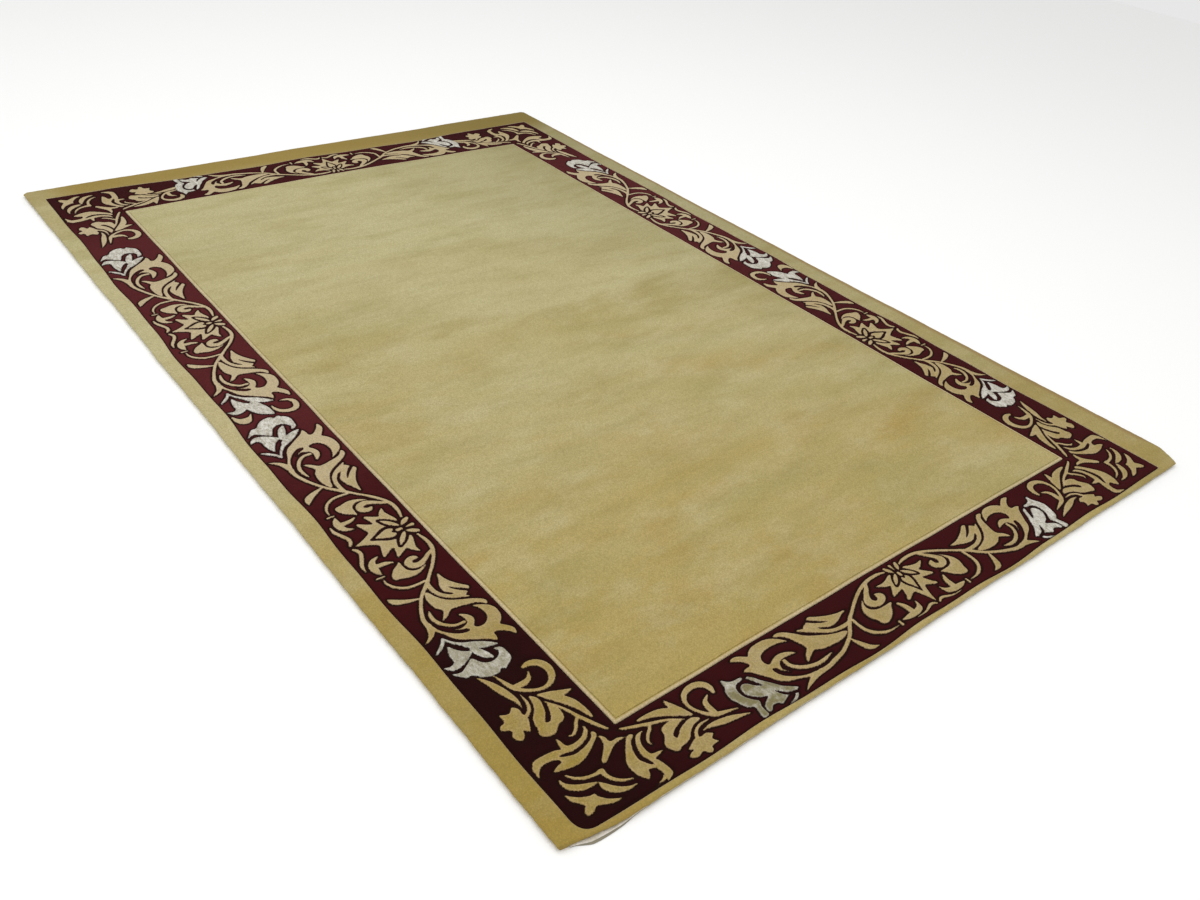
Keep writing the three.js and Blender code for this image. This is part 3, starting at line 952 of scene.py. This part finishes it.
# Maps a value from one range to another, clipped
def ranged(tree, value, low, high, toLow=0.0, toHigh=1.0):
    return addNode(tree, "MapRange", None, {0: value, 1: low, 2: high, 3: toLow, 4: toHigh})


def calc(tree, operation, a, b, c=0.0, clamp=False):
    return addNode(tree, "Math", {"operation": operation, "use_clamp": clamp}, {0: a, 1: b, 2: c})


def mixed(tree, share, a, b):
    return addNode(tree, "Mix", {"data_type": "RGBA"}, {0: share, 6: a, 7: b}).outputs[2]


def valueOf(tree, attribute):
    return addNode(tree, "Attribute", {"attribute_name": attribute}).outputs["Fac"]


# A share that changes steadily over the rug: start plus so much a metre along X and Y, and some noise
def driftOver(tree, start, alongX, alongY, noise, amount):
    place = addNode(tree, "SeparateXYZ", None, {0: addNode(tree, "TexCoord").outputs["Object"]})
    slope = calc(tree, "MULTIPLY_ADD", place.outputs[0], alongX, start)
    slope = calc(tree, "MULTIPLY_ADD", place.outputs[1], alongY, slope)
    return calc(tree, "MULTIPLY_ADD", calc(tree, "SUBTRACT", noise, 0.5), amount, slope, clamp=True)


knotPitch = 0.0026


# The ends of the knots: cells 2.6 mm apart, which give the pile its grain and the pattern its stepped edges
def knotGrain(tree):
    place = addNode(tree, "TexCoord").outputs["Object"]
    return addNode(tree, "TexVoronoi", {"feature": "F1"}, {"Vector": place, "Scale": 1 / knotPitch})


# Each knot drawn a random share towards the second colour, the second colour between the knots, and a
# bump that rounds each knot. On the pile and the web the second colour is darker, painted shade between
# the tufts; on the knotted back it is the pale weft.
def tufted(tree, colour, speckColour, speck, height):
    knots = knotGrain(tree)
    grain = knots.outputs["Distance"]
    own = addNode(tree, "SeparateColor", None, {0: knots.outputs["Color"]}).outputs[1]
    colour = mixed(tree, calc(tree, "MULTIPLY", own, speck), colour, speckColour)
    colour = mixed(tree, ranged(tree, grain, 0.1, 0.75, 0.0, speck), colour, speckColour)
    return colour, addNode(tree, "Bump", None, {"Strength": 0.6, "Distance": height, "Height": grain})


# Wool pile: golden beige, more golden towards the near left and paler at the far end, partly uneven dye
# and partly painted sheen of the pile; streaks along the weft where the dye lots change; orange, olive and
# pale blotches; painted sheen and shade by the strip's painted shading; painted shade towards the far
# right; a pale line beside the carved line, a painted highlight; darker brown along the right outer edge;
# and painted shade between the knots
def woolPile():
    material, tree = newMaterial("wool_pile")
    lots = noiseOver(tree, (0.9, 4.0, 1), 3.0, 0.6)
    # more golden towards the near left, partly uneven dye and partly painted sheen of the pile seen along and
    # against its nap
    golden = driftOver(tree, 0.28, -0.15, -0.42, lots, 1.2)
    colour = mixed(tree, golden, "c7bf94", "b59e5d")
    amber = calc(tree, "MULTIPLY", ranged(tree, noiseOver(tree, (3.5, 9, 2), 4.0, 0.6), 0.5, 0.68), golden)
    colour = mixed(tree, calc(tree, "MULTIPLY", amber, 0.5), colour, "b38f4d")
    olive = ranged(tree, noiseOver(tree, (1.7, 3.4, 3), 4.0, 0.6), 0.5, 0.66, 0.0, 0.4)
    colour = mixed(tree, olive, colour, "a39a60")
    pale = ranged(tree, noiseOver(tree, (5, 9, 4), 5.0, 0.65), 0.48, 0.75, 0.0, 0.45)
    colour = mixed(tree, pale, colour, "d1c8a3")
    streak = ranged(tree, noiseOver(tree, (3.5, 14, 1), 5.0, 0.66), 0.46, 0.75, 0.0, 0.38)
    colour = mixed(tree, streak, colour, "8f8148")
    weft = ranged(tree, noiseOver(tree, (70, 150, 1), 3.0, 0.8), 0.42, 0.8, 0.0, 0.2)
    colour = mixed(tree, weft, colour, "85773c")
    # painted sheen and shade of the strip's pile: darker and more golden, or paler, by its painted shading
    paintedGolden = calc(tree, "MULTIPLY", valueOf(tree, "paintedShading"), 0.85, clamp=True)
    colour = mixed(tree, paintedGolden, colour, "957829")
    paintedPaler = calc(tree, "MULTIPLY", valueOf(tree, "paintedShading"), -0.6, clamp=True)
    colour = mixed(tree, paintedPaler, colour, "d2cba8")
    # painted shade: darker towards the far right
    colour = mixed(tree, driftOver(tree, -0.1, 0.38, 0.13, lots, 0.4), colour, "5c5228")
    # painted highlight: a pale line on the pile beside the carved line, where the cut edge catches the light
    sheared = ranged(tree, valueOf(tree, "rim"), 5.0, 7.6, 0.66, 0.0)
    colour = mixed(tree, sheared, colour, "dec9aa")
    # darker brown along the outer edge of the right side
    rightEdgeDarker = ranged(tree, valueOf(tree, "edge"), 13.0, 28.0, 0.75, 0.0)
    colour = mixed(tree, rightEdgeDarker, colour, "97774f")
    # painted shade between the knots
    colour, bump = tufted(tree, colour, "6f6432", 0.3, 0.0010)
    surfaceFrom(tree, {"Base Color": colour, "Roughness": 0.95, "Sheen Weight": 0.03, "Sheen Roughness": 0.6,
                       "Specular IOR Level": 0.06, "Normal": bump})
    return material


# Wool and silk border: burgundy ground, randomly mottled, with painted sheen and shade that is darkest
# towards the near left; golden wool scrolls with a pale edge, a painted highlight; brushed silk lilies with
# painted sheen, olive painted shade on a shaded lily's silk; dark lines where the pile is carved, painted
# shade in the grooves; and painted shade between the knots
def carvedBorder():
    material, tree = newMaterial("carved_border")
    knot = addNode(tree, "SeparateColor", None, {0: knotGrain(tree).outputs["Color"]}).outputs[0]
    jag = ranged(tree, knot, 0, 1, -0.9, 0.9)
    woolDepth = calc(tree, "ADD", valueOf(tree, "wool"), jag)
    silkDepth = calc(tree, "ADD", valueOf(tree, "silk"), jag)
    blotch = noiseOver(tree, (16, 30, 4), 4.0, 0.65)
    uneven = calc(tree, "MULTIPLY_ADD", blotch, 0.7, -0.35)
    # the ground's painted sheen and shade, with random mottling: paler where the painted shading is high,
    # darker where it is low
    paintedPaler = calc(tree, "ADD", valueOf(tree, "paintedShading"), uneven, clamp=True)
    ground = mixed(tree, paintedPaler, "3b0a0d", "572122")
    paintedDarker = calc(tree, "SUBTRACT", uneven, valueOf(tree, "paintedShading"), clamp=True)
    ground = mixed(tree, paintedDarker, ground, "1e0303")
    # the wool is more golden towards the near end, and more golden still where painted shade darkens the
    # ground
    golden = driftOver(tree, 0.32, 0.05, -0.15, blotch, 0.9)
    golden = calc(tree, "MULTIPLY_ADD", valueOf(tree, "paintedShading"), -0.4, golden, clamp=True)
    wool = mixed(tree, golden, "c6b58f", "a28b45")
    # painted highlight: a pale edge on the wool motifs where the carved edge catches the light
    paleEdge = mixed(tree, golden, "d4bf9c", "bfa168")
    wool = mixed(tree, ranged(tree, woolDepth, 1.4, 4.6, 0.7, 0.0), wool, paleEdge)
    # painted sheen: the silk's nap catches the light in streaks and patches, grey between and bright where it
    # shines
    brushed = noiseOver(tree, (150, 70, 40), 4.0, 0.8)
    silk = mixed(tree, ranged(tree, brushed, 0.36, 0.62), "9c967e", "e8e4d8")
    # painted shade: olive where a shaded lily's silk faces away from the light
    turned = ranged(tree, noiseOver(tree, (26, 34, 4), 3.0, 0.6), 0.36, 0.54, 0.4, 1.0)
    turned = calc(tree, "MULTIPLY", turned, ranged(tree, silkDepth, 1.0, 4.0, 0.5, 1.0))
    silk = mixed(tree, calc(tree, "MULTIPLY", turned, valueOf(tree, "shade")), silk, "7b7240")
    colour = mixed(tree, ranged(tree, woolDepth, -0.4, 0.5), ground, wool)
    inSilk = ranged(tree, silkDepth, -0.4, 0.5)
    colour = mixed(tree, inSilk, colour, silk)
    # painted shade in the carved grooves and along the carved edges
    colour = mixed(tree, ranged(tree, valueOf(tree, "carve"), 0.28, 0.8, 0.0, 0.94), colour, "1a0a05")
    # painted shade between the knots
    colour, bump = tufted(tree, colour, "240c0c", 0.22, 0.0010)
    surfaceFrom(tree, {"Base Color": colour, "Roughness": ranged(tree, inSilk, 0, 1, 0.95, 0.45),
                       "Specular IOR Level": ranged(tree, inSilk, 0, 1, 0.08, 0.5), "Normal": bump})
    return material


# Cotton web: off-white, with painted shade in grey on the lower layer near the floor, under the fold
def cottonWeb():
    material, tree = newMaterial("cotton_web")
    patch = noiseOver(tree, (40, 60, 60), 3.0, 0.6)
    colour = mixed(tree, ranged(tree, patch, 0.35, 0.7), "ece6dc", "c9c0b0")
    paintedUnderShade = ranged(tree, valueOf(tree, "height"), 1.5, 2.0, 0.9, 0.0)
    colour = mixed(tree, paintedUnderShade, colour, "77715c")
    # painted shade between the knots
    colour, bump = tufted(tree, colour, "8d8674", 0.2, 0.0005)
    surfaceFrom(tree, {"Base Color": colour, "Roughness": 0.9, "Specular IOR Level": 0.15, "Normal": bump})
    return material


# Knotted back: the colours of the pile, duller, with the cotton weft pale between the knots
def knottedBack():
    material, tree = newMaterial("knotted_back")
    colour = mixed(tree, valueOf(tree, "band"), "a89d70", "55262e")
    colour, bump = tufted(tree, colour, "cfc8b2", 0.5, 0.0006)
    surfaceFrom(tree, {"Base Color": colour, "Roughness": 0.95, "Specular IOR Level": 0.1, "Normal": bump})
    return material


wool, bordered, cotton, back = woolPile(), carvedBorder(), cottonWeb(), knottedBack()
rug = rugSheet()
rug.data.materials.append(wool)
rug.data.materials.append(back)
slabs = [fieldSlab()]
slabs[0].data.materials.append(wool)
for name, side, withCorners in (("border_near", near, False), ("border_right", right, True),
                                ("border_far", far, False), ("border_left", left, True)):
    slabs.append(borderSlab(name, side, withCorners))
    slabs[-1].data.materials.append(bordered)
strip = endWeb()
strip.data.materials.append(cotton)

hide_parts("rug_body")
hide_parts("end_web")
for piece in [rug, strip] + slabs:
    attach(piece, "root")

# A plain pale floor and soft studio light
studio = {
    "floor": 14.0, "floorColour": "f6f6f5", "sky": 0.80,
    "key": 98.0, "keySize": 5.0, "keyPlace": (-0.7, -0.1, 4.2),
}


def makeStudio():
    material, tree = newMaterial("studio_floor")
    surfaceFrom(tree, {"Base Color": studio["floorColour"], "Roughness": 0.9})
    half = studio["floor"] / 2
    mesh = bpy.data.meshes.new("studio_floor")
    corners = [(-half, -half, 0), (half, -half, 0), (half, half, 0), (-half, half, 0)]
    mesh.from_pydata(corners, [], [(0, 1, 2, 3)])
    mesh.materials.append(material)
    floor = bpy.data.objects.new("studio_floor", mesh)
    bpy.context.scene.collection.objects.link(floor)
    world = bpy.data.worlds.new("studio")
    world.use_nodes = True
    world.node_tree.nodes["Background"].inputs["Color"].default_value = (1, 1, 1, 1)
    world.node_tree.nodes["Background"].inputs["Strength"].default_value = studio["sky"]
    bpy.context.scene.world = world
    lamp = bpy.data.lights.new("key", "AREA")
    lamp.energy, lamp.size = studio["key"], studio["keySize"]
    holder = bpy.data.objects.new("key", lamp)
    bpy.context.scene.collection.objects.link(holder)
    holder.location = studio["keyPlace"]
    holder.rotation_euler = (-Vector(studio["keyPlace"])).to_track_quat("-Z", "Y").to_euler()
    bpy.context.scene.view_settings.view_transform = "Standard"
    print("studio")


makeStudio()
